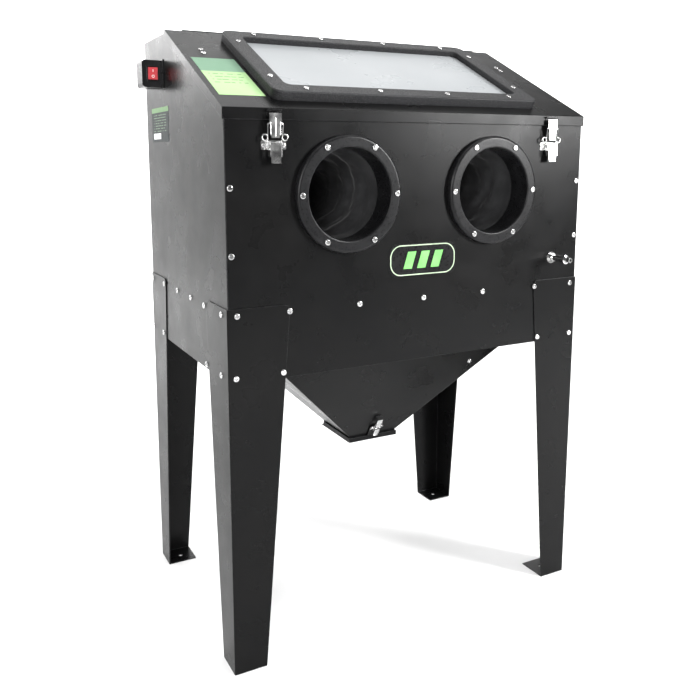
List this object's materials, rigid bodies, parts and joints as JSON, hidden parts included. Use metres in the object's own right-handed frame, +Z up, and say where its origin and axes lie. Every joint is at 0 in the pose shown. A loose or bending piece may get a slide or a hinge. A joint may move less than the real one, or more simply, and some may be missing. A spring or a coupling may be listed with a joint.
{
  "type": "abrasive blast cabinet",
  "caption": "Floor-standing abrasive blast cabinet with sloping window lid, two glove ports, toggle latches, hopper with dump door and four tapered legs.",
  "frame": {"origin": "on the floor at the centre of the four foot bolt holes, under the middle of the cabinet", "axes": "+Z up, front with the glove ports towards -Y, +X to the right as seen from the front"},
  "size_m": [0.9757, 0.678, 1.387],
  "materials": {
    "painted": "satin black powder coat",
    "moulded": "moulded black plastic",
    "frame": "hammered dark grey",
    "glass": "clear",
    "rubber": "black rubber",
    "foam": "black foam",
    "zinc": "bright zinc plate",
    "steel": "bare steel",
    "gloss": "gloss black",
    "red": "translucent red",
    "lens": "white diffuser",
    "label_green": "printed sheet",
    "label_dark": "printed sheet",
    "badge": "printed sheet",
    "alu": "cast"
  },
  "bodies": {
    "cabinet": {"front_panel": "painted", "left_side_panel": "painted", "right_side_panel": "painted", "rear_panel": "painted", "rear_top_cover": "painted", "hopper": "painted", "front_left_leg": "painted", "front_right_leg": "painted", "rear_left_leg": "painted", "rear_right_leg": "painted", "hopper_catch": "painted", "hinge_fixed_leaf": "painted", "dump_hinge_leaf": "painted", "left_stay_guide": "painted", "right_stay_guide": "painted", "exhaust_collar": "painted", "left_arm_ring": "moulded", "right_arm_ring": "moulded", "lamp_housing": "moulded", "switch_housing": "moulded", "left_glove": "rubber", "right_glove": "rubber", "lid_seal": "foam", "left_latch_base": "zinc", "right_latch_base": "zinc", "pan_head_screws": "zinc", "air_inlet_body": "zinc", "air_inlet_nut": "zinc", "air_inlet_plug": "zinc", "work_grate": "steel", "grate_rails": "steel", "gun_holder": "steel", "switch_bezel": "gloss", "lamp_lens": "lens", "side_label": "label_dark", "badge": "badge", "blast_gun": "alu"},
    "lid": {"lid_panel": "painted", "window_frame": "frame", "window_glass": "glass", "window_gasket": "rubber", "lid_screws": "zinc", "lid_hinge_leaf": "painted", "lid_hinge_pin": "steel", "lid_catches": "painted", "lid_label": "label_green", "left_stay_bracket": "steel", "right_stay_bracket": "steel"},
    "left_stay": {"left_stay_arm": "steel"},
    "right_stay": {"right_stay_arm": "steel"},
    "left_lever": {"left_latch_lever": "zinc"},
    "right_lever": {"right_latch_lever": "zinc"},
    "left_claw": {"left_latch_claw": "zinc"},
    "right_claw": {"right_latch_claw": "zinc"},
    "dump_door": {"dump_door": "painted", "dump_door_gasket": "rubber", "dump_latch_base": "zinc"},
    "dump_lever": {"dump_latch_lever": "zinc"},
    "dump_claw": {"dump_latch_claw": "zinc"},
    "rocker": {"switch_rocker": "red"}
  },
  "joints": [
    {"name": "lid_hinge", "type": "hinge", "parent": "cabinet", "child": "lid", "pos_m": [0, 0.098, 1.3825], "axis": [-1, 0, 0], "range_deg": [0, 65]},
    {"name": "left_stay_pivot", "type": "hinge", "parent": "lid", "child": "left_stay", "pos_m": [-0.432, 0.01003, 1.311], "axis": [1, 0, 0], "range_deg": [0, 65]},
    {"name": "right_stay_pivot", "type": "hinge", "parent": "lid", "child": "right_stay", "pos_m": [0.432, 0.01003, 1.311], "axis": [1, 0, 0], "range_deg": [0, 65]},
    {"name": "left_latch_lever_pivot", "type": "hinge", "parent": "cabinet", "child": "left_lever", "pos_m": [-0.357, -0.298, 1.121], "axis": [-1, 0, 0], "range_deg": [0, 110]},
    {"name": "left_latch_claw_pivot", "type": "hinge", "parent": "left_lever", "child": "left_claw", "pos_m": [-0.357, -0.2955, 1.109], "axis": [1, 0, 0], "range_deg": [0, 110]},
    {"name": "right_latch_lever_pivot", "type": "hinge", "parent": "cabinet", "child": "right_lever", "pos_m": [0.357, -0.298, 1.121], "axis": [-1, 0, 0], "range_deg": [0, 110]},
    {"name": "right_latch_claw_pivot", "type": "hinge", "parent": "right_lever", "child": "right_claw", "pos_m": [0.357, -0.2955, 1.109], "axis": [1, 0, 0], "range_deg": [0, 110]},
    {"name": "dump_door_hinge", "type": "hinge", "parent": "cabinet", "child": "dump_door", "pos_m": [0, 0.082, 0.383], "axis": [1, 0, 0], "range_deg": [0, 85]},
    {"name": "dump_latch_lever_pivot", "type": "hinge", "parent": "dump_door", "child": "dump_lever", "pos_m": [0, -0.0957, 0.40987], "axis": [-1, 0, 0], "range_deg": [0, 110]},
    {"name": "dump_latch_claw_pivot", "type": "hinge", "parent": "dump_lever", "child": "dump_claw", "pos_m": [0, -0.09116, 0.40472], "axis": [1, 0, 0], "range_deg": [0, 110]},
    {"name": "rocker_pivot", "type": "hinge", "parent": "cabinet", "child": "rocker", "pos_m": [-0.485, 0.124, 1.287], "axis": [-1, 0, 0], "range_deg": [0, 8]}
  ],
  "couplings": [
    {"joint": "left_stay_pivot", "follows": "lid_hinge", "ratio": 1},
    {"joint": "right_stay_pivot", "follows": "lid_hinge", "ratio": 1},
    {"joint": "left_latch_claw_pivot", "follows": "left_latch_lever_pivot", "ratio": 1},
    {"joint": "right_latch_claw_pivot", "follows": "right_latch_lever_pivot", "ratio": 1},
    {"joint": "dump_latch_claw_pivot", "follows": "dump_latch_lever_pivot", "ratio": 1}
  ]
}
